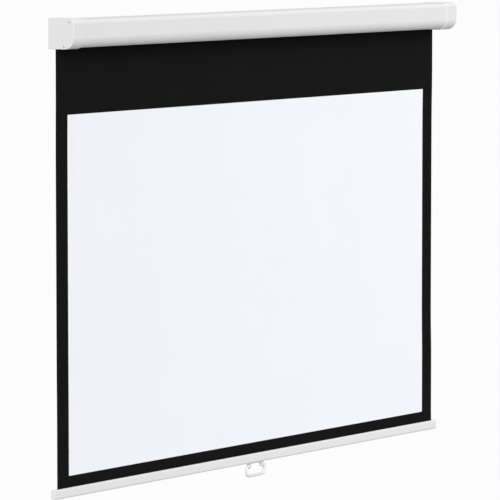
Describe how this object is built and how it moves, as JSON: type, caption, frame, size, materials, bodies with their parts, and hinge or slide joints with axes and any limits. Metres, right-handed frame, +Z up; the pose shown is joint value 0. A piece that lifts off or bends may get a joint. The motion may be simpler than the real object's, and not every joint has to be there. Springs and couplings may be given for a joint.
{
  "type": "pull down projector screen",
  "caption": "Wall hung projector screen that rolls up into a slim casing: white sheet with black borders, weighted bottom bar and pull handle.",
  "frame": {"origin": "middle of the casing's flat back face, which lies against the wall", "axes": "+X along the screen to the viewer's right, +Y into the wall, +Z up"},
  "size_m": [1.9144, 0.089, 1.363],
  "materials": {
    "casing_paint": "white powder coat, satin",
    "cap_plastic": "white moulded plastic, fine texture",
    "zinc_steel": "bright zinc plate",
    "spring_steel": "drawn spring wire, lightly oiled",
    "roller_aluminium": "mill finish",
    "nylon": "natural nylon",
    "fabric_white": "matte white projection surface",
    "fabric_black": "matte black coat",
    "bar_paint": "white powder coat, satin",
    "handle_plastic": "white, half gloss"
  },
  "bodies": {
    "casing": {"casing_shell": "casing_paint", "left_end_cap": "cap_plastic", "right_end_cap": "cap_plastic", "left_cap_upper_screw": "zinc_steel", "left_cap_lower_screw": "zinc_steel", "right_cap_upper_screw": "zinc_steel", "right_cap_lower_screw": "zinc_steel", "left_end_bracket": "zinc_steel", "right_end_bracket": "zinc_steel", "spring_arbor": "zinc_steel", "ratchet_wheel": "zinc_steel", "spring_anchor": "zinc_steel", "torsion_spring": "spring_steel", "idler_bush": "nylon", "screen_fabric": "fabric_white", "top_black_drop": "fabric_black", "left_black_border": "fabric_black", "right_black_border": "fabric_black", "bottom_black_border": "fabric_black"},
    "roller": {"roller_tube": "roller_aluminium", "spring_end_plug": "nylon", "idler_end_plug": "nylon", "idler_pin": "zinc_steel", "arbor_bush": "nylon", "upper_pawl_pin": "zinc_steel", "lower_pawl_pin": "zinc_steel", "fabric_wraps": "fabric_black"},
    "upper_pawl": {"upper_pawl": "zinc_steel"},
    "lower_pawl": {"lower_pawl": "zinc_steel"},
    "bottom_bar": {"bottom_bar": "bar_paint", "bar_left_cap": "cap_plastic", "bar_right_cap": "cap_plastic", "hem_rod": "nylon", "handle_bracket": "bar_paint", "handle_left_screw": "zinc_steel", "handle_right_screw": "zinc_steel"},
    "pull_handle": {"pull_handle": "handle_plastic"}
  },
  "joints": [
    {"name": "screen_pull", "type": "slide", "parent": "casing", "child": "bottom_bar", "axis": [0, 0, 1], "range_m": [0, 1.209], "deforming": ["screen_fabric", "top_black_drop", "left_black_border", "right_black_border", "bottom_black_border"]},
    {"name": "roller_spin", "type": "hinge", "parent": "casing", "child": "roller", "pos_m": [0, -0.03635, 0], "axis": [1, 0, 0], "range_deg": [0, 2700]},
    {"name": "handle_swing", "type": "hinge", "parent": "bottom_bar", "child": "pull_handle", "pos_m": [0, -0.012, -1.289], "axis": [1, 0, 0], "range_deg": [-110, 15]},
    {"name": "upper_pawl_pivot", "type": "hinge", "parent": "roller", "child": "upper_pawl", "pos_m": [-0.9453, -0.02636, 0.014], "axis": [1, 0, 0], "range_deg": [0, 14]},
    {"name": "lower_pawl_pivot", "type": "hinge", "parent": "roller", "child": "lower_pawl", "pos_m": [-0.9453, -0.04634, -0.014], "axis": [1, 0, 0], "range_deg": [0, 14]}
  ],
  "couplings": [
    {"joint": "roller_spin", "follows": "screen_pull", "rad_per_m": 38.977}
  ]
}
